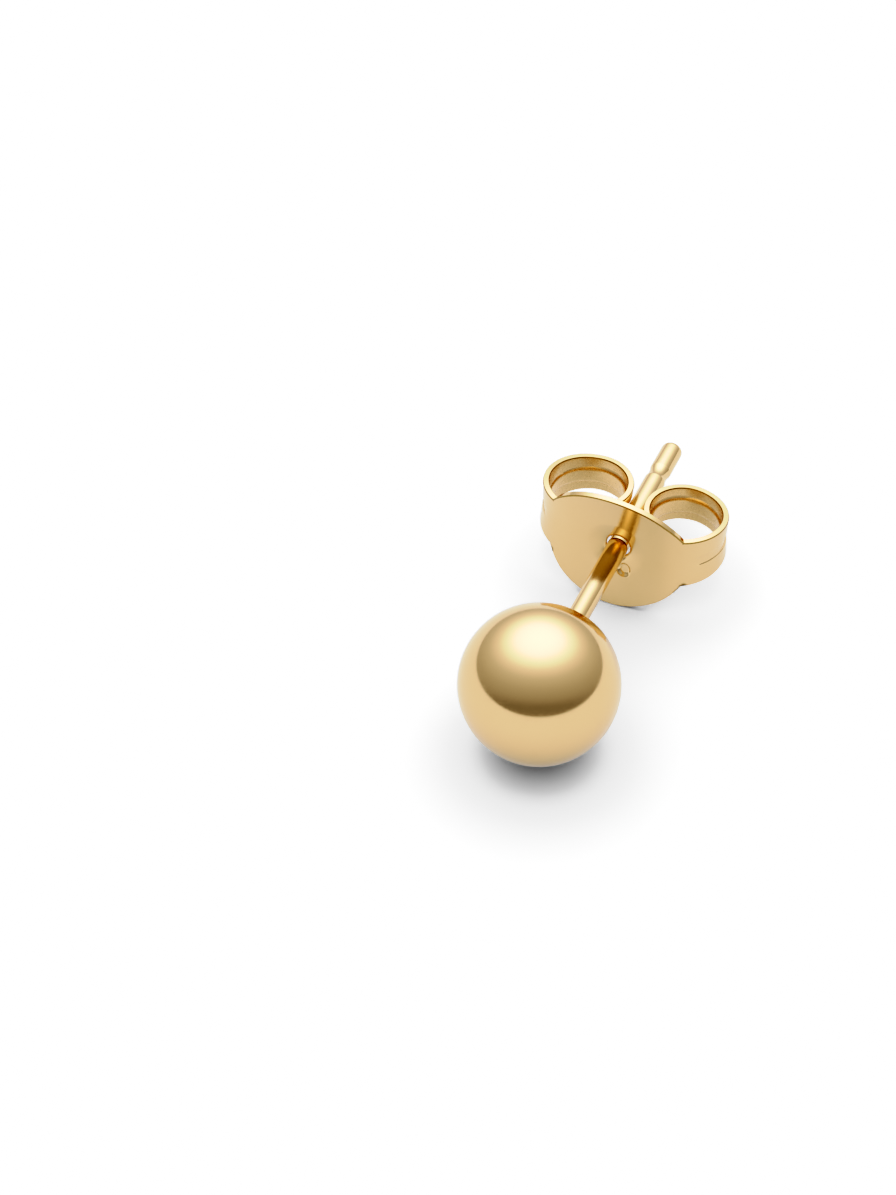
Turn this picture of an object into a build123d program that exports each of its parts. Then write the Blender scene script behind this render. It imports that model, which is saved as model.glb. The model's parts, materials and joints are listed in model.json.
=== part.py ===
from build123d import *
import math
import os

# A ball stud earring with its butterfly clutch on the post, in millimetres.
# The earring lies on its side: the ball and the clutch's disc touch the surface z = 0.
# +Y runs from the ball to the post's tip, +X to the right, +Z up.

# ball and post, soldered together
ball_diameter = 6.0
ball_wall = 0.25
post_diameter = 0.8
post_length = 11.2
solder_fillet_radius = 0.55
solder_fillet_length = 0.16

# the post's end: a crowned, rounded tip behind a waisted groove
tip_length = 1.46
tip_rounding = 0.26
tip_crown_radius = 0.19
tip_crown_height = 0.03
groove_width = 0.6
groove_depth = 0.05

# clutch sheet, pierced disc and funnel
sheet = 0.24
clutch_distance = 8.29
disc_half_width = 2.94
disc_half_height = 2.475
disc_setback = 0.24
disc_cup_radius = 9.4
disc_bow_radius = 20.0
blank_margin = 0.15
hole_diameter = 0.94
hole_lip_setback = 0.02
funnel_diameter = 2.2
funnel_overlap = 0.08
press_mark_radius = 1.0
press_mark_depth = 0.05
press_mark_drop = 0.95
press_mark_side = 0.24

# each wing is a strip rolled through three arcs, the last of them pressing on the post
bend_radius = 1.93
scroll_radius = 1.74
curl_radius = 1.475
curl_turn = 140.0
nip_half_gap = 0.345

# the wings narrow from the disc to the back of the scrolls
wing_root_width = 2.16
wing_end_width = 1.54

# bead pressed along the middle of each wing, where the post runs
bead_half_width = 0.34
bead_flank = 0.1
bead_depth = 0.085
bead_root = 0.06
bead_start_angle = 38.0
bead_end_angle = 25.0

# how the clutch sits on the post: turned about the place where its scrolls grip, and rolled round the post
clutch_skew = 3.0
clutch_roll = 1.5

ball_radius = ball_diameter / 2
post_radius = post_diameter / 2
hole_radius = hole_diameter / 2
funnel_radius = funnel_diameter / 2
tip_y = ball_radius + post_length
scroll_x = nip_half_gap + curl_radius
scroll_outer = scroll_x + scroll_radius
disc_bow_angle = math.degrees(math.asin((scroll_outer - bend_radius) / (disc_bow_radius - bend_radius)))


def closed_face(*edges):
    """The flat face inside a closed chain of edges."""
    return make_face(Wire(edges))


def ball_stud():
    """Hollow ball with the post soldered on: one profile turned about the Y axis."""
    fillet_start_y = math.sqrt(ball_radius**2 - solder_fillet_radius**2)
    fillet_end_y = fillet_start_y + solder_fillet_length
    side = ball_radius * math.sin(math.radians(45))
    groove_end_y = tip_y - tip_length
    groove_start_y = groove_end_y - groove_width
    dome_y = tip_y - tip_rounding
    crown_y = tip_y - tip_crown_height
    outline = closed_face(
        ThreePointArc((0, -ball_radius), (side, -side), (ball_radius, 0)),
        ThreePointArc((ball_radius, 0), (side, side), (solder_fillet_radius, fillet_start_y)),
        Line((solder_fillet_radius, fillet_start_y), (post_radius, fillet_end_y)),
        Line((post_radius, fillet_end_y), (post_radius, groove_start_y)),
        ThreePointArc(
            (post_radius, groove_start_y),
            (post_radius - groove_depth, (groove_start_y + groove_end_y) / 2),
            (post_radius, groove_end_y),
        ),
        Line((post_radius, groove_end_y), (post_radius, dome_y)),
        TangentArc((post_radius, dome_y), (tip_crown_radius, crown_y), tangent=(0, 1)),
        Line((tip_crown_radius, crown_y), (0, tip_y)),
        Line((0, tip_y), (0, -ball_radius)),
    )
    return revolve(outline, Axis.Y) - Sphere(ball_radius - ball_wall)


class Roll:
    """A flat section carried through arcs about upright axes, as sheet rolled on a former."""

    def __init__(self, x, y, heading):
        self.x = x
        self.y = y
        self.heading = heading

    def centre(self, radius):
        """The axis of the next arc, to the left of the heading."""
        turn = math.radians(self.heading)
        return self.x - radius * math.sin(turn), self.y + radius * math.cos(turn)

    def arc(self, section, radius, angle):
        """The solid that a section, drawn in the YZ plane at the origin, sweeps over the next arc."""
        cx, cy = self.centre(radius)
        placed = Location((self.x, self.y, 0)) * Rotation(0, 0, self.heading) * section
        return revolve(placed, Axis((cx, cy, 0), (0, 0, 1)), revolution_arc=angle)

    def move(self, radius, angle):
        """Where the roll is after the next arc."""
        cx, cy = self.centre(radius)
        turn = math.radians(self.heading + angle)
        return Roll(cx + radius * math.sin(turn), cy - radius * math.cos(turn), self.heading + angle)


def sheet_section(half_height):
    """The sheet cut across: lightly cupped towards the ball, front face through the origin."""

    def cup(radius, front):
        drop = radius - math.sqrt(radius**2 - half_height**2)
        return [(0, front - drop, -half_height), (0, front, 0), (0, front - drop, half_height)]

    front = cup(disc_cup_radius, 0)
    back = cup(disc_cup_radius + sheet, sheet)
    return closed_face(
        ThreePointArc(*front), Line(front[2], back[2]), ThreePointArc(*back[::-1]), Line(back[0], front[0])
    )


def bead_section(near, far, near_half_width, far_half_width):
    """A band along the middle of the wing, from depth near to depth far in the sheet."""
    corners = [
        (0, near, -near_half_width),
        (0, far, -far_half_width),
        (0, far, far_half_width),
        (0, near, near_half_width),
    ]
    return make_face(Polyline(*corners, close=True))


def funnel():
    """The drawn collar round the hole."""
    rim_y = -disc_setback
    lip_y = -hole_lip_setback
    ring = closed_face(
        TangentArc((funnel_radius, rim_y), (hole_radius, lip_y), tangent=(-1, 0)),
        Line((hole_radius, lip_y), (hole_radius, lip_y + sheet)),
        TangentArc((funnel_radius, rim_y + sheet), (hole_radius, lip_y + sheet), tangent=(-1, 0)),
        Line((funnel_radius, rim_y + sheet), (funnel_radius, rim_y)),
    )
    return revolve(ring, Axis.Y)


def funnel_cutter():
    """What is cut out of the disc for the funnel, clear of the strip ends behind it."""
    up_to_its_end = (Align.CENTER, Align.CENTER, Align.MAX)
    bar = Cylinder(funnel_radius - funnel_overlap, scroll_outer, align=up_to_its_end)
    return Pos(0, sheet / 2, 0) * Rotation(-90, 0, 0) * bar


def wing_wedge(back_y):
    """What the wings are cut to from the side: narrowing evenly from the disc to their back."""
    front_y = -scroll_outer
    narrowing = (wing_root_width - wing_end_width) / 2 / back_y
    front_half = wing_root_width / 2 - narrowing * front_y
    back_half = wing_end_width / 2
    side_view = Polyline(
        (front_y, -front_half), (back_y, -back_half), (back_y, back_half), (front_y, front_half), close=True
    )
    return extrude(Plane.YZ * make_face(side_view), amount=2 * scroll_outer, both=True)


def butterfly_clutch():
    """One stamped sheet: cupped disc with a funnelled hole and two rolled wings with a bead."""
    middle = Roll(0, -disc_setback, 0)
    bend = middle.move(disc_bow_radius, disc_bow_angle)
    bend_turn = 90 - disc_bow_angle
    bead = bend.move(bend_radius, bead_start_angle)
    side = bend.move(bend_radius, bend_turn)
    back = side.move(scroll_radius, 90)
    nip = back.move(curl_radius, 90)

    def bead_band(section):
        """The section swept from the bend, round the scroll and past the nip."""
        band = bead.arc(section, bend_radius, bend_turn - bead_start_angle)
        band += side.arc(section, scroll_radius, 90)
        return band + back.arc(section, curl_radius, 90 + bead_end_angle)

    # half of the disc and the front of its wing, cut out of a tall blank
    tall = sheet_section(disc_half_height + blank_margin)
    front = middle.arc(tall, disc_bow_radius, disc_bow_angle) + bend.arc(tall, bend_radius, bend_turn)
    wedge = wing_wedge(back.y)
    disc = extrude(Plane.XZ * Ellipse(disc_half_width, disc_half_height), amount=scroll_outer, both=True)
    right = front & (disc + wedge)

    # the rest of the wing, rolled back to the post
    right += side.arc(tall, scroll_radius, 90) & wedge
    right += back.arc(sheet_section(wing_end_width / 2), curl_radius, curl_turn)

    # the bead stands proud inside the scroll and is hollow outside it
    top_half_width = bead_half_width - bead_flank
    ridge = bead_section(sheet - bead_root, sheet + bead_depth, bead_half_width, top_half_width)
    groove = bead_section(-bead_depth, bead_depth, bead_half_width + bead_flank, top_half_width)
    right += bead_band(ridge)
    right -= bead_band(groove)

    # the hole is pierced beside the disc's middle, where the post passes through the skewed clutch
    body = right + mirror(right, about=Plane.YZ)
    to_hole = Pos(nip.y * math.tan(math.radians(clutch_skew)), 0, 0)
    body = body - to_hole * funnel_cutter() + to_hole * funnel()
    mark_y = -disc_setback - press_mark_radius + press_mark_depth
    body -= to_hole * Pos(press_mark_side, mark_y, -press_mark_drop) * Sphere(press_mark_radius)
    return Pos(0, nip.y, 0) * Rotation(0, 0, -clutch_skew) * Pos(0, -nip.y, 0) * body


def resting_tilt():
    """The angle at which ball and disc both touch the surface, from their two radii."""
    cup_drop = disc_cup_radius - math.sqrt(disc_cup_radius**2 - disc_half_height**2)
    rim_y = clutch_distance - disc_setback - cup_drop + sheet
    reach = math.hypot(rim_y, disc_half_height)
    return math.degrees(math.atan2(disc_half_height, rim_y) - math.asin(ball_radius / reach))


tilt = resting_tilt()
middle_y = (tip_y * math.cos(math.radians(tilt)) - ball_radius) / 2
lying = Pos(0, -middle_y, ball_radius) * Rotation(tilt, 0, 0)
print("tilt", round(tilt, 3), "ball centre y", round(-middle_y, 3))

nodes = {
    "ball_stud": lying * ball_stud(),
    "butterfly_clutch": lying * Pos(0, clutch_distance, 0) * Rotation(0, clutch_roll, 0) * butterfly_clutch(),
}
os.makedirs("parts", exist_ok=True)
for name, solid in nodes.items():
    export_step(solid, f"parts/{name}.step")
    print(name, len(solid.solids()), round(solid.volume, 3), solid.bounding_box())
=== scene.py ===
"""A ball stud earring in yellow gold, lying on its side with its butterfly clutch on the post."""

import json
import math

import bmesh
import bpy
from mathutils import Matrix, Vector


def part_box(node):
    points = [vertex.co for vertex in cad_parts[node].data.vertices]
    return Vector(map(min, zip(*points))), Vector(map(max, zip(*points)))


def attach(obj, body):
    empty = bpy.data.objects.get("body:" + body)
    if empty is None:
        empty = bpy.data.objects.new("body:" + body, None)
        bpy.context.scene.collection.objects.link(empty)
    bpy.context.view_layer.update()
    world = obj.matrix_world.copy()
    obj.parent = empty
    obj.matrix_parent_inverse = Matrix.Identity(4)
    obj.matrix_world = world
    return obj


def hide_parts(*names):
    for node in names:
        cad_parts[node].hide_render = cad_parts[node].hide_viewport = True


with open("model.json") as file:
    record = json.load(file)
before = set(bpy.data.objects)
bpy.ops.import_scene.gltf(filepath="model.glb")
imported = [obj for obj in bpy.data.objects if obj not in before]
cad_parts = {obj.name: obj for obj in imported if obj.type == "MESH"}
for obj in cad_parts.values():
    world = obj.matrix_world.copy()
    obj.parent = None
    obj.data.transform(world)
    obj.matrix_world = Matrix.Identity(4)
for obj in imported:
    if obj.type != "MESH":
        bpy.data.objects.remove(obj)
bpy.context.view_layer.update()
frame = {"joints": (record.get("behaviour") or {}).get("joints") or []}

# Each piece is shaped in millimetres round the ball's centre, with the post along +Y,
# and goes to its place in the frame when it is finished.
MM = 0.001

BALL_RADIUS = 3.0
POST_RADIUS = 0.4
POST_LENGTH = 11.2
SOLDER_FILLET = 0.16
TIP_LENGTH = 1.46
TIP_ROUNDING = 0.231
TIP_TURN = 84.0
TIP_CROWN = 0.03
GROOVE_WIDTH = 0.6
GROOVE_DEPTH = 0.05
SHOULDER_ROUNDING = 0.03

SHEET = 0.24
CLUTCH_DISTANCE = 8.29
CLUTCH_SKEW = 3.0
CLUTCH_ROLL = 1.5
DISC_HALF_WIDTH = 2.94
DISC_HALF_HEIGHT = 2.475
DISC_SETBACK = 0.24
DISC_CUP_RADIUS = 9.4
DISC_BOW_RADIUS = 20.0
HOLE_RADIUS = 0.445
FUNNEL_RADIUS = 1.15
FUNNEL_RISE = 0.14
FUNNEL_CURVE = 1.2
LIP_RISE = 0.08
LIP_CURVE = 8
MARK_RADIUS = 0.3
MARK_WALL = 0.15
MARK_DEPTH = 0.09
MARK_DROP = 0.9
MARK_SIDE = 0.38

BEND_RADIUS = 1.93
SCROLL_RADIUS = 1.74
CURL_RADIUS = 1.475
CURL_TURN = 140.0
NIP_HALF_GAP = 0.345
WING_ROOT_WIDTH = 2.16
WING_END_WIDTH = 1.54

BEAD_HALF_WIDTH = 0.34
BEAD_DEPTH = 0.085
BEAD_START_HALF_WIDTH = 0.2
BEAD_START_DEPTH = 0.028
BEAD_START_LENGTH = 0.3
BEAD_START_ANGLE = 45.0
BEAD_GROWTH = 5.0
BEAD_STEEPNESS = 0.7
BEAD_END_ANGLE = 18.0
BEAD_END_FADE = 12.0

# the sheet's cut edges: how far they are relieved along the sheet and into it, and then rounded
EDGE_CHAMFER = 0.055
EDGE_RELIEF = 0.024
EDGE_ROUNDING = 0.013

# painted shadows at the two lower corners, where the notches lie in shade: how large, and how far right of
# its corner and above it
CORNER_SHADOW_RADIUS = 0.17
RIGHT_CORNER_SHADOW = (0.09, 0.01)
LEFT_CORNER_SHADOW = (0.1, -0.18)

# vertices nearer than MERGED are made one, and places nearer than CLOSE count as the same
MERGED = 0.0005
CLOSE = 0.001


# --- shaping tools -------------------------------------------------------------------------------


def eased(share):
    """A rise from 0 to 1 with a soft start and end."""
    share = min(1, max(0, share))
    return share**2 * (3 - 2 * share)


def turn_profile(bm, last, centre, angle, steps):
    """Carries a profile on from its last vertex, round an arc in the XY plane."""
    made = bmesh.ops.spin(
        bm, geom=[last], cent=(*centre, 0), axis=(0, 0, 1), angle=math.radians(angle), steps=steps
    )
    return next(part for part in made["geom_last"] if isinstance(part, bmesh.types.BMVert))


def draw_profile(bm, last, end, steps):
    """Carries a profile on from its last vertex in a straight line."""
    start = last.co.copy()
    for step in range(1, steps + 1):
        last = bmesh.ops.extrude_vert_indiv(bm, verts=[last])["verts"][0]
        last.co = start.lerp(Vector((*end, 0)), step / steps)
    return last


def finished(bm, name, place):
    """The shape as an object that sits at the origin, with its place in its mesh."""
    bm.transform(place)
    for face in bm.faces:
        face.smooth = True
    mesh = bpy.data.meshes.new(name)
    bm.to_mesh(mesh)
    bm.free()
    piece = bpy.data.objects.new(name, mesh)
    bpy.context.scene.collection.objects.link(piece)
    return piece


# --- the ball with its post ----------------------------------------------------------------------


def soldered_ball_and_post(place):
    """One profile, from the ball's front to the post's tip, turned about the post's axis."""
    bm = bmesh.new()
    tip_y = BALL_RADIUS + POST_LENGTH
    groove_end = tip_y - TIP_LENGTH
    groove_start = groove_end - GROOVE_WIDTH
    groove_radius = (GROOVE_WIDTH**2 / 4 + GROOVE_DEPTH**2) / (2 * GROOVE_DEPTH)
    groove_half_angle = math.degrees(math.asin(GROOVE_WIDTH / 2 / groove_radius))
    fillet_x = POST_RADIUS + SOLDER_FILLET
    fillet_angle = math.degrees(math.asin(fillet_x / BALL_RADIUS))
    fillet_y = BALL_RADIUS * math.cos(math.radians(fillet_angle)) + SOLDER_FILLET

    last = bm.verts.new((0, -BALL_RADIUS, 0))
    last = turn_profile(bm, last, (0, 0), 180 - fillet_angle, 90)
    last = turn_profile(bm, last, (fillet_x, fillet_y), -90, 6)
    last = draw_profile(bm, last, (POST_RADIUS, groove_start), 24)
    groove_centre = (POST_RADIUS - GROOVE_DEPTH + groove_radius, (groove_start + groove_end) / 2)
    last = turn_profile(bm, last, groove_centre, -2 * groove_half_angle, 8)
    last = draw_profile(bm, last, (POST_RADIUS, tip_y - TIP_CROWN - TIP_ROUNDING), 3)
    last = turn_profile(bm, last, (POST_RADIUS - TIP_ROUNDING, last.co.y), TIP_TURN, 8)
    draw_profile(bm, last, (0, tip_y), 3)

    bmesh.ops.spin(
        bm, geom=bm.verts[:] + bm.edges[:], cent=(0, 0, 0), axis=(0, 1, 0),
        angle=math.tau, steps=160, use_merge=True,
    )
    bmesh.ops.remove_doubles(bm, verts=bm.verts, dist=MERGED)

    shoulders = [
        edge for edge in bm.edges
        if all(
            min(abs(vert.co.y - groove_start), abs(vert.co.y - groove_end)) < CLOSE
            for vert in edge.verts
        )
    ]
    bmesh.ops.bevel(
        bm, geom=shoulders, offset=SHOULDER_ROUNDING, segments=3, profile=0.5, affect="EDGES", material=-1
    )
    bmesh.ops.recalc_face_normals(bm, faces=bm.faces)
    return finished(bm, "stud_polished", place)


# --- the clutch, stamped and rolled from one sheet -----------------------------------------------

curl_x = NIP_HALF_GAP + CURL_RADIUS
bend_x = curl_x + SCROLL_RADIUS - BEND_RADIUS
bow_angle = math.asin(bend_x / (DISC_BOW_RADIUS - BEND_RADIUS))
bow_centre_y = DISC_BOW_RADIUS - DISC_SETBACK
bend_y = bow_centre_y - (DISC_BOW_RADIUS - BEND_RADIUS) * math.cos(bow_angle)
curl_y = bend_y + SCROLL_RADIUS - CURL_RADIUS
back_y = bend_y + SCROLL_RADIUS

# the hole lies beside the disc's middle, where the post runs through the skewed clutch
hole_x = curl_y * math.tan(math.radians(CLUTCH_SKEW))


def cup_drop(z):
    """How far the cupped sheet comes forward at a height above or below its middle."""
    return DISC_CUP_RADIUS - math.sqrt(DISC_CUP_RADIUS**2 - z**2)


def wing_half_width(y):
    """Half the wing's width, which narrows evenly from the disc to the back of the scroll."""
    narrowing = min(1, max(0, y / back_y))
    return (WING_ROOT_WIDTH - (WING_ROOT_WIDTH - WING_END_WIDTH) * narrowing) / 2


# where the wing leaves the disc's outline
root_half = WING_ROOT_WIDTH / 2
root_x = DISC_HALF_WIDTH * math.sqrt(1 - (root_half / DISC_HALF_HEIGHT) ** 2)
root_angle = math.degrees(math.asin((root_x - bend_x) / (BEND_RADIUS + cup_drop(root_half))))

# the arcs that a wing is rolled through, after its root: axis, radius of the front face, turn, steps
WING_ARCS = [
    ((bend_x, bend_y), BEND_RADIUS, 90 - root_angle, 16),
    ((curl_x, bend_y), SCROLL_RADIUS, 90, 26),
    ((curl_x, curl_y), CURL_RADIUS, CURL_TURN, 36),
]

# the clutch's finishes, in the order of its materials
# the last finish is rougher and painted dark brown as the shade along the cut edges
OUTSIDE, INSIDE, ROUGH_EDGE_PAINTED_SHADE = range(3)

# how far the rougher line with painted shade on the cut edges runs from a lower corner
SHADED_CORNER_REACH = 0.25

# how the vertices across a wing are spread, from its middle out: as far as, steps. As far as BEAD_ZONE
# they keep their height when the wing is narrowed
BEAD_TOP = 0.1
BEAD_ZONE = 0.42
WING_SPREAD = [
    (BEAD_TOP, 2),
    (BEAD_HALF_WIDTH, 12),
    (BEAD_ZONE, 2),
    (root_half - EDGE_CHAMFER, 4),
    (root_half, 1),
]
RIM_STEPS = 100

# the rings of the disc, grown from the hole's middle out past its lip, the funnel and the mark: as far
# as, steps. A number that isn't above 0 is from the rim
LIP_ZONE = 0.62
MARK_ZONE = 1.38
DISC_ZONES = [(LIP_ZONE, 5), (FUNNEL_RADIUS, 16), (MARK_ZONE, 8), (-EDGE_CHAMFER, 7), (0, 1)]


def sheet_front(x, z):
    """The disc's front face, bowed a little to both sides and then bent back."""
    drop = cup_drop(z)
    radius, centre_x, centre_y = DISC_BOW_RADIUS + drop, 0, bow_centre_y
    if abs(x) > radius * math.sin(bow_angle):
        radius, centre_x, centre_y = BEND_RADIUS + drop, bend_x, bend_y
    return centre_y - math.sqrt(radius**2 - (abs(x) - centre_x) ** 2)


def wing_heights():
    """Heights of the vertices across a wing's root, from its middle to its upper edge."""
    heights = [0.0]
    for limit, steps in WING_SPREAD:
        start = heights[-1]
        heights += [start + (limit - start) * step / steps for step in range(1, steps + 1)]
    return heights


def disc_outline():
    """The blank's outline seen from the front, once round from the right wing's lower edge."""
    upper = wing_heights()
    heights = [-z for z in upper[:0:-1]] + upper
    reach = math.sin(math.radians(root_angle))
    wing = [(bend_x + (BEND_RADIUS + cup_drop(z)) * reach, z) for z in heights]
    corner = math.atan2(root_half / DISC_HALF_HEIGHT, root_x / DISC_HALF_WIDTH)
    rim = []
    for step in range(1, RIM_STEPS):
        turn = corner + (math.pi - 2 * corner) * step / RIM_STEPS
        rim.append((DISC_HALF_WIDTH * math.cos(turn), DISC_HALF_HEIGHT * math.sin(turn)))
    half = wing + rim
    return half + [(-x, -z) for x, z in half]


def formed(x, z):
    """A point of the blank pressed to the disc's front face, with its funnel."""
    y = sheet_front(x, z)
    reach = math.hypot(x - hole_x, z)
    if reach < FUNNEL_RADIUS:
        inwards = (FUNNEL_RADIUS - reach) / (FUNNEL_RADIUS - HOLE_RADIUS)
        y += FUNNEL_RISE * inwards**FUNNEL_CURVE + LIP_RISE * inwards**LIP_CURVE
    return Vector((x, y, z))


def disc(bm):
    """Rings of the disc, grown from the hole to the outline. Returns the edges of the last ring."""
    outline = disc_outline()
    hole = Vector((hole_x, 0))
    spoke = bm.verts.layers.int.new("spoke")
    circle = bmesh.ops.create_circle(bm, cap_ends=False, radius=HOLE_RADIUS, segments=len(outline))
    ring = circle["verts"]
    for number, vert in enumerate(ring):
        vert[spoke] = number
    edges = bm.edges[:]

    def grow(edges):
        """One more ring, grown outwards from the last. Returns its vertices and edges."""
        made = bmesh.ops.extrude_edge_only(bm, edges=edges)["geom"]
        verts = {part for part in made if isinstance(part, bmesh.types.BMVert)}
        lines = [part for part in made if isinstance(part, bmesh.types.BMEdge)]
        return verts, [edge for edge in lines if verts.issuperset(edge.verts)]

    def set_ring(verts, inner, outer, share):
        """Puts a ring's vertices on their spokes, at a share of the way from one zone's end to the next."""
        for vert in verts:
            rim = Vector(outline[vert[spoke]]) - hole
            near = inner if inner > 0 else rim.length + inner
            far = outer if outer > 0 else rim.length + outer
            vert.co = formed(*(hole + rim.normalized() * (near + (far - near) * share)))

    set_ring(ring, HOLE_RADIUS, HOLE_RADIUS, 0)
    inner = HOLE_RADIUS
    for outer, steps in DISC_ZONES:
        for step in range(1, steps + 1):
            ring, edges = grow(edges)
            set_ring(ring, inner, outer, step / steps)
        inner = outer
    return edges


def bead_press(height, run):
    """How deep the bead is pressed at a height on the wing, at a distance along it from its start."""
    if run <= 0:
        return 0
    growth = min(1, run / BEAD_GROWTH)
    width = BEAD_START_HALF_WIDTH + (BEAD_HALF_WIDTH - BEAD_START_HALF_WIDTH) * growth
    depth = BEAD_START_DEPTH + (BEAD_DEPTH - BEAD_START_DEPTH) * growth
    depth *= min(1, run / BEAD_START_LENGTH)
    return depth * eased((width - height) * BEAD_STEEPNESS / depth)


def roll_wing(bm, root, side):
    """Rolls a wing back from its root edges, then narrows it and presses its bead."""
    geom = root + list({vert for edge in root for vert in edge.verts})
    rolled = []
    heading = root_angle
    run = BEND_RADIUS * math.radians(root_angle - BEAD_START_ANGLE)
    for centre, radius, turn, steps in WING_ARCS:
        axis = Vector((side * centre[0], centre[1], 0))
        for _ in range(steps):
            geom = bmesh.ops.spin(
                bm, geom=geom, cent=axis, axis=(0, 0, side), angle=math.radians(turn / steps), steps=1
            )["geom_last"]
            heading += turn / steps
            run += radius * math.radians(turn / steps)
            verts = [part for part in geom if isinstance(part, bmesh.types.BMVert)]
            rolled += [(vert, axis, radius, heading, run) for vert in verts]

    for vert, axis, radius, heading, run in rolled:
        flat = Vector((vert.co.x, vert.co.y, 0))
        half_width = WING_END_WIDTH / 2 if heading > 180 else wing_half_width(flat.y)
        height = abs(vert.co.z)
        if height > BEAD_ZONE:
            share = min(1, (height - BEAD_ZONE) / (root_half - EDGE_CHAMFER - BEAD_ZONE))
            in_chamfer = max(0, height - root_half + EDGE_CHAMFER)
            height = BEAD_ZONE + share * (half_width - EDGE_CHAMFER - BEAD_ZONE) + in_chamfer
        fade = eased((heading - 270 - BEAD_END_ANGLE) / BEAD_END_FADE)
        press = bead_press(height, run) * (1 - fade)
        shaped = axis + (flat - axis).normalized() * (radius + cup_drop(height) - press)
        shaped.z = math.copysign(height, vert.co.z)
        vert.co = shaped


def strike_mark(front_verts):
    """Strikes the small round mark under the hole. Only the disc lies before y = 0, not the scrolls."""
    for vert in front_verts:
        off = math.hypot(vert.co.x - hole_x - MARK_SIDE, vert.co.z + MARK_DROP)
        if vert.co.y < 0:
            vert.co.y += MARK_DEPTH * eased((MARK_RADIUS - off) / MARK_WALL)


def relieve_cut_edges(bm, front_verts):
    """Relieves the sheet's cut edges, lays out its finishes and marks what the rounding is to smooth."""
    across = [edge for edge in bm.edges if len(front_verts.intersection(edge.verts)) == 1]
    rim = {vert for edge in across for vert in edge.verts}
    for edge in across:
        one, other = edge.verts
        step = (other.co - one.co).normalized() * EDGE_RELIEF
        one.co += step
        other.co -= step
    inside = {vert for edge in bm.edges if rim.intersection(edge.verts) for vert in edge.verts} - rim
    corner_y = sheet_front(root_x, root_half)
    for face in bm.faces:
        if front_verts.isdisjoint(face.verts):
            face.material_index = INSIDE
        middle = face.calc_center_median()
        # the upper cut edges and a patch at each lower corner get the rougher finish, painted dark as shade
        rough_and_shaded = middle.z > 0 or math.hypot(abs(middle.x) - root_x, middle.y - corner_y) < SHADED_CORNER_REACH
        if rough_and_shaded and rim.intersection(face.verts) and inside.intersection(face.verts):
            face.material_index = ROUGH_EDGE_PAINTED_SHADE
    weight = bm.edges.layers.float.new("bevel_weight_edge")
    for edge in set(bm.edges) - set(across):
        if rim.issuperset(edge.verts) or inside.issuperset(edge.verts):
            edge[weight] = 1


def butterfly_clutch(place):
    """One sheet: the disc with its funnelled hole, and two wings rolled back to the post."""
    bm = bmesh.new()
    rim = disc(bm)
    for side in (1, -1):
        root = [
            edge for edge in rim
            if all(abs(vert.co.z) < root_half + CLOSE and vert.co.x * side > 0 for vert in edge.verts)
        ]
        roll_wing(bm, root, side)
    bmesh.ops.remove_doubles(bm, verts=bm.verts, dist=MERGED)
    bmesh.ops.recalc_face_normals(bm, faces=bm.faces)
    front = min(bm.faces, key=lambda face: face.calc_center_median().z)
    if front.normal.y > 0:
        bmesh.ops.reverse_faces(bm, faces=bm.faces)

    front_verts = set(bm.verts)
    bmesh.ops.solidify(bm, geom=bm.faces[:], thickness=SHEET)
    strike_mark(front_verts)
    relieve_cut_edges(bm, front_verts)
    for vert in bm.verts:
        vert.co.z = max(vert.co.z, -DISC_HALF_HEIGHT)

    clutch = finished(bm, "clutch_polished", place)
    rounding = clutch.modifiers.new("edges", "BEVEL")
    rounding.width = EDGE_ROUNDING * MM
    rounding.segments = 2
    rounding.limit_method = "WEIGHT"
    rounding.use_clamp_overlap = False
    rounding.harden_normals = True
    return clutch


# --- materials -----------------------------------------------------------------------------------


# where the product of two noises mostly lies
FINISH_SPREAD = (0.12, 0.4)

# the share of a painted corner shadow's radius that is solid dark brown, and how far the paper's fibres
# change its tone
CORNER_SHADOW_CORE = 0.4
FIBRE_MOTTLE = 0.01


def linear(code):
    """An sRGB hex colour as linear RGBA."""
    levels = [int(code[start : start + 2], 16) / 255 for start in (1, 3, 5)]
    return (*[v / 12.92 if v <= 0.04045 else ((v + 0.055) / 1.055) ** 2.4 for v in levels], 1)


def add(tree, kind, links=None, **settings):
    """Adds a node. Inputs are set by name or number from links, and its own settings by keyword."""
    node = tree.nodes.new(kind)
    for name, value in settings.items():
        setattr(node, name, value)
    for name, value in (links or {}).items():
        if isinstance(value, bpy.types.NodeSocket):
            tree.links.new(value, node.inputs[name])
        else:
            node.inputs[name].default_value = value
    return node


def new_material(name):
    """A material with an empty tree. Returns it with the tree."""
    material = bpy.data.materials.new(name)
    material.use_nodes = True
    material.node_tree.nodes.clear()
    return material, material.node_tree


def noise(tree, where, size, detail):
    """A noise whose features have this size in millimetres."""
    inputs = {"Vector": where, "Scale": 1 / (size * MM), "Detail": detail}
    return add(tree, "ShaderNodeTexNoise", inputs).outputs[0]


def drawn_out(tree, where, scale):
    """Coordinates in which a pattern is drawn out along each axis whose scale is under 1."""
    return add(tree, "ShaderNodeMapping", {"Vector": where, "Scale": scale}).outputs[0]


def carried(tree, value, spread, result):
    """A value carried over from the range where it lies to another."""
    inputs = {
        "Value": value,
        "From Min": spread[0],
        "From Max": spread[1],
        "To Min": result[0],
        "To Max": result[1],
    }
    return add(tree, "ShaderNodeMapRange", inputs).outputs[0]


def blend(tree, share, one, other):
    """One colour, given way to another by a share."""
    mix = add(tree, "ShaderNodeMix", {"Factor": share, 6: one, 7: other}, data_type="RGBA")
    return mix.outputs[2]


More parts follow.
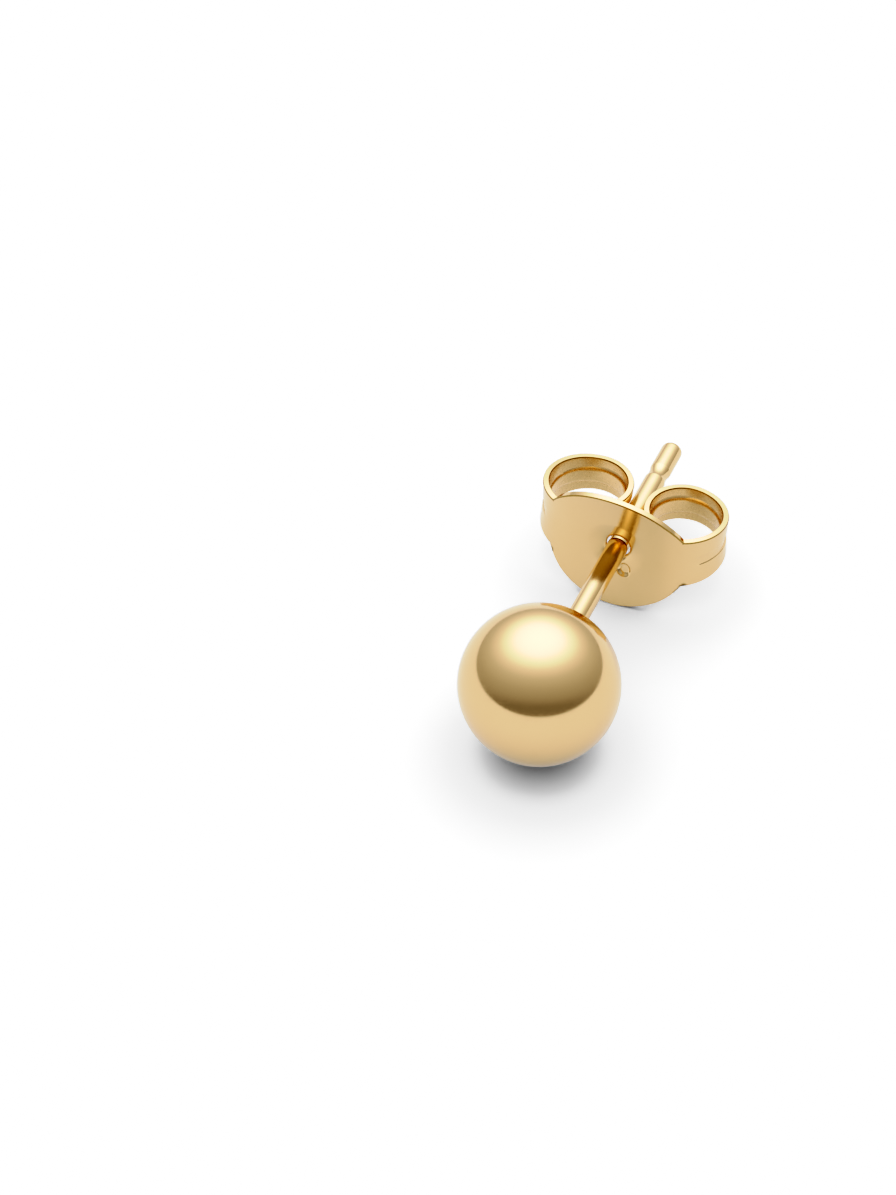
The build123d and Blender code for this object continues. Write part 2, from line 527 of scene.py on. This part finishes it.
def bare_metal(tree, colour, lines, clouds, polish, relief):
    """Ends the tree of a metal whose fine lines and clouds make its roughness.

    polish is the roughness of the best finished places and of the worst. relief lists heights, each
    with its depth in millimetres, from the broadest to the finest.
    """
    finish = add(tree, "ShaderNodeMath", {0: lines, 1: clouds}, operation="MULTIPLY")
    shading = {
        "Base Color": colour,
        "Metallic": 1.0,
        "Roughness": carried(tree, finish.outputs[0], FINISH_SPREAD, polish),
    }
    for height, depth in relief:
        inputs = {"Strength": 1.0, "Distance": depth * MM, "Height": height}
        if "Normal" in shading:
            inputs["Normal"] = shading["Normal"]
        shading["Normal"] = add(tree, "ShaderNodeBump", inputs).outputs[0]
    shader = add(tree, "ShaderNodeBsdfPrincipled", shading)
    add(tree, "ShaderNodeOutputMaterial", {"Surface": shader.outputs[0]})


def polished_gold():
    """14 carat yellow gold, spun round the post's axis and buffed on a soft mop.

    The mop leaves shallow waves and a haze of hairlines that run round the axis, so the ball is a
    clean warm mirror whose reflections are just soft enough to read as metal and not as glass.
    """
    material, tree = new_material("mirror_buffed_gold")
    here = add(tree, "ShaderNodeTexCoord").outputs["Object"]

    # the alloy: two close tones in patches of some 2 mm
    patches = noise(tree, here, 2.2, 2.0)
    metal = blend(tree, patches, linear("#E5C493"), linear("#E9C999"))

    # hairlines: 0.02 mm apart along the post, and forty times as long round it
    hairlines = noise(tree, drawn_out(tree, here, (0.025, 1.0, 0.025)), 0.02, 3.0)
    haze = noise(tree, here, 0.35, 3.0)

    # the mop's waves are 0.4 micrometres high, and the hairlines far less
    waves = noise(tree, here, 0.8, 1.0)
    relief = [(waves, 0.0004), (hairlines, 0.00003)]
    bare_metal(tree, metal, hairlines, haze, (0.1, 0.15), relief)
    return material


def sheet_gold(name, light_tone, deep_tone, polish, corner_shadows=()):
    """14 carat gold sheet, rolled to gauge: the rolls leave a fine grain along the strip.

    The tones are those of the alloy's patches. Tumbling in steel shot lays a faint dimpling over the
    grain, so the sheet is bright but softer than the ball. At each given corner a dark brown shadow is
    painted, as the shade of its notch.
    """
    material, tree = new_material(name)
    here = add(tree, "ShaderNodeTexCoord").outputs["Object"]
    patches = noise(tree, here, 1.4, 3.0)
    colour = blend(tree, patches, linear(light_tone), linear(deep_tone))
    # a dark brown shadow is painted round each lower corner, where its notch lies in shade
    for shadow_spot in corner_shadows:
        off = add(tree, "ShaderNodeVectorMath", {0: here, 1: shadow_spot}, operation="DISTANCE")
        fade = (CORNER_SHADOW_CORE * CORNER_SHADOW_RADIUS * MM, CORNER_SHADOW_RADIUS * MM)
        shadowed = carried(tree, off.outputs["Value"], fade, (1.0, 0.0))
        colour = blend(tree, shadowed, colour, linear("#5E4822"))

    # rolling grain: 0.03 mm apart, and some thirty times as long along the strip
    grain = noise(tree, drawn_out(tree, here, (0.03, 1.0, 1.0)), 0.03, 3.0)
    dimples = noise(tree, here, 0.16, 2.0)

    # the dimples are 0.15 micrometres deep, and the grain 0.04
    relief = [(dimples, 0.00015), (grain, 0.00004)]
    bare_metal(tree, colour, grain, dimples, polish, relief)
    return material


def clutch_finishes(place):
    """The three finishes of the clutch's sheet, in the order OUTSIDE, INSIDE, ROUGH_EDGE_PAINTED_SHADE.

    The shot brightens the outside. It hardly reaches into the scrolls, which stay duller and a little
    deeper in tone. The upper cut edges and the lower corners get a rougher finish, painted dark brown as
    the shade along them, and a dark shadow is painted at each lower corner.
    """
    # the painted shadows at the two lower corners
    corner_shadows = []
    for corner_x, (aside, up) in ((root_x, RIGHT_CORNER_SHADOW), (-root_x, LEFT_CORNER_SHADOW)):
        x, z = corner_x + aside, up - root_half
        corner_shadows.append(place @ Vector((x, sheet_front(x, z), z)))
    return [
        sheet_gold("tumbled_gold", "#E4C391", "#E8C898", (0.12, 0.18), corner_shadows),
        sheet_gold("rolled_gold_inside_scrolls", "#E8C796", "#E3C08D", (0.22, 0.3)),
        # the cut edges: rougher, and painted dark brown as their shade
        sheet_gold("rough_gold_painted_edge_shade", "#957A4C", "#A1834F", (0.26, 0.36), corner_shadows),
    ]


def white_paper(name, brightness, glow):
    """Matt white paper with a barely visible mottle of its fibres. glow is the light through it."""
    material, tree = new_material(name)
    here = add(tree, "ShaderNodeTexCoord").outputs["Object"]
    tones = (brightness * (1 - FIBRE_MOTTLE), brightness * (1 + FIBRE_MOTTLE))
    tone = carried(tree, noise(tree, here, 1 / 3, 2.0), (0.0, 1.0), tones)
    matt = add(tree, "ShaderNodeBsdfDiffuse", {"Color": tone})
    light = add(tree, "ShaderNodeEmission", {"Strength": glow})
    both = add(tree, "ShaderNodeAddShader", {0: matt.outputs[0], 1: light.outputs[0]})
    add(tree, "ShaderNodeOutputMaterial", {"Surface": both.outputs[0]})
    return material


# --- building the object -------------------------------------------------------------------------

post_axis = Vector(frame["joints"][0]["axis"])
stud_low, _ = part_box("ball_stud")
ball_centre = Vector((0, stud_low.y + BALL_RADIUS * MM, stud_low.z + BALL_RADIUS * MM))
slope = math.atan2(post_axis.z, post_axis.y)
lying = Matrix.Translation(ball_centre) @ Matrix.Rotation(slope, 4, "X") @ Matrix.Scale(MM, 4)

stud = soldered_ball_and_post(lying)
stud.data.materials.append(polished_gold())
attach(stud, "stud")
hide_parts("ball_stud")

grip = Matrix.Translation((0, curl_y, 0))
skew = grip @ Matrix.Rotation(math.radians(-CLUTCH_SKEW), 4, "Z") @ grip.inverted()
roll = Matrix.Rotation(math.radians(CLUTCH_ROLL), 4, "Y")
on_post = lying @ Matrix.Translation((0, CLUTCH_DISTANCE, 0)) @ roll @ skew
clutch = butterfly_clutch(on_post)
for finish in clutch_finishes(on_post):
    clutch.data.materials.append(finish)
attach(clutch, "clutch")
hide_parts("butterfly_clutch")


# --- floor, light and camera ---------------------------------------------------------------------

# brightness of the studio round the main light's direction: angle from it in degrees, level
STUDIO_LIGHT = [
    (0, 2.55),
    (16, 2.44),
    (26, 2.23),
    (30, 2.01),
    (33, 1.77),
    (40, 1.40),
    (47, 1.05),
    (54, 0.84),
    (61, 0.67),
    (75, 0.50),
    (89, 0.38),
    (96, 0.28),
    (100, 0.24),
    (180, 0.24),
]
BRIGHTEST = STUDIO_LIGHT[0][1]

# how far the main light leans away from the camera
LIGHT_TILT = 24.0

# the paper's whiteness as it is seen and as the gold reflects it, and the light through the latter
SEEN_PAPER = 1.36
REFLECTED_PAPER = 0.5
REFLECTED_GLOW = 0.4

# how far the paper reaches to each side, and how far the reflected sheet lies under the seen one
PAPER_REACH = 1000.0
PAPER_GAP = 0.002

# how light in the scene becomes light in the picture: the deepest tones are pressed down to black
WHITE_LEVEL = 1.5
TONE_CURVE = [
    (0.027, 0.0),
    (0.040, 0.010),
    (0.060, 0.033),
    (0.100, 0.100),
    (0.187, 0.263),
    (0.350, 0.5225),
    (0.547, 0.787),
    (0.800, 0.890),
    (1.0, 1.0),
]

# the camera: its turn round the ball and its drop in degrees, then in millimetres its distance, how far
# its middle line passes right of the ball's centre and above it, how tall a strip it sees, its sensor
VIEW_TURN = 21.175
VIEW_DROP = 45.51
VIEW_DISTANCE = 347.0
VIEW_RIGHT = -3.321
VIEW_UP = 3.165
FRAME_HEIGHT = 43.45
SENSOR = 36.0


def paper(name, height, material):
    """A wide sheet of paper, at a height over the surface that the earring lies on."""
    bm = bmesh.new()
    bmesh.ops.create_grid(bm, x_segments=1, y_segments=1, size=PAPER_REACH)
    sheet = finished(bm, name, Matrix.Scale(MM, 4) @ Matrix.Translation((0, 0, height)))
    sheet.data.materials.append(material)
    return sheet


def floor():
    """The paper as it is seen, and just under it the dimmer paper that the gold reflects."""
    seen = paper("paper_floor", 0, white_paper("bright_paper", SEEN_PAPER, 0))
    seen.visible_diffuse = False
    seen.visible_glossy = False
    seen.visible_shadow = False
    soft_paper = white_paper("soft_paper", REFLECTED_PAPER, REFLECTED_GLOW)
    reflected = paper("paper_in_reflections", -PAPER_GAP, soft_paper)
    reflected.visible_camera = False


def studio(back):
    """A soft round light overhead, leaning away from the camera and fading to a dim horizon."""
    world = bpy.data.worlds.new("studio")
    bpy.context.scene.world = world
    world.use_nodes = True
    tree = world.node_tree
    tree.nodes.clear()
    lean = math.radians(LIGHT_TILT)
    towards = Vector((-back.x, -back.y, 0)).normalized() * math.sin(lean)
    towards.z = math.cos(lean)
    way = add(tree, "ShaderNodeTexCoord").outputs["Generated"]
    along = add(tree, "ShaderNodeVectorMath", {0: way, 1: towards}, operation="DOT_PRODUCT")
    angle = add(tree, "ShaderNodeMath", {0: along.outputs["Value"]}, operation="ARCCOSINE")
    share = add(tree, "ShaderNodeMath", {0: angle.outputs[0], 1: math.pi}, operation="DIVIDE")
    ramp = add(tree, "ShaderNodeValToRGB", {0: share.outputs[0]})
    stops = ramp.color_ramp.elements
    while len(stops) < len(STUDIO_LIGHT):
        stops.new(0.5)
    for stop, (degrees, level) in zip(stops, STUDIO_LIGHT):
        stop.position = degrees / 180
        stop.color = (*[level / BRIGHTEST] * 3, 1)
    lit = add(tree, "ShaderNodeBackground", {"Color": ramp.outputs[0], "Strength": BRIGHTEST})
    add(tree, "ShaderNodeOutputWorld", {"Surface": lit.outputs[0]})


def camera():
    """A long lens, looking down at the ball's side of the earring. Returns the way back to it."""
    turn, drop = math.radians(VIEW_TURN), math.radians(VIEW_DROP)
    right = Vector((math.cos(turn), math.sin(turn), 0))
    back = Vector((math.sin(turn) * math.cos(drop), -math.cos(turn) * math.cos(drop), math.sin(drop)))
    up = back.cross(right)
    data = bpy.data.cameras.new("camera")
    data.sensor_width = SENSOR
    data.lens = SENSOR * VIEW_DISTANCE / FRAME_HEIGHT
    data.clip_start = 0.01
    eye = bpy.data.objects.new("camera", data)
    bpy.context.scene.collection.objects.link(eye)
    eye.location = ball_centre + (right * VIEW_RIGHT + up * VIEW_UP + back * VIEW_DISTANCE) * MM
    eye.rotation_euler = (-back).to_track_quat("-Z", "Y").to_euler()
    bpy.context.scene.camera = eye
    return back


def tones(view):
    """Presses the deepest shadows down to black and lets the highlights come up softly."""
    view.view_transform = "Standard"
    view.use_curve_mapping = True
    view.curve_mapping.white_level = [WHITE_LEVEL] * 3
    view.curve_mapping.extend = "HORIZONTAL"
    points = view.curve_mapping.curves[3].points
    while len(points) < len(TONE_CURVE):
        points.new(0.5, 0.5)
    for point, place in zip(points, TONE_CURVE):
        point.location = place
        point.handle_type = "AUTO_CLAMPED"
    view.curve_mapping.update()


floor()
studio(camera())
tones(bpy.context.scene.view_settings)

# the gold throws no bright flecks on the paper, and its scrolls reflect each other many times over
bpy.context.scene.cycles.caustics_reflective = False
bpy.context.scene.cycles.glossy_bounces = 10
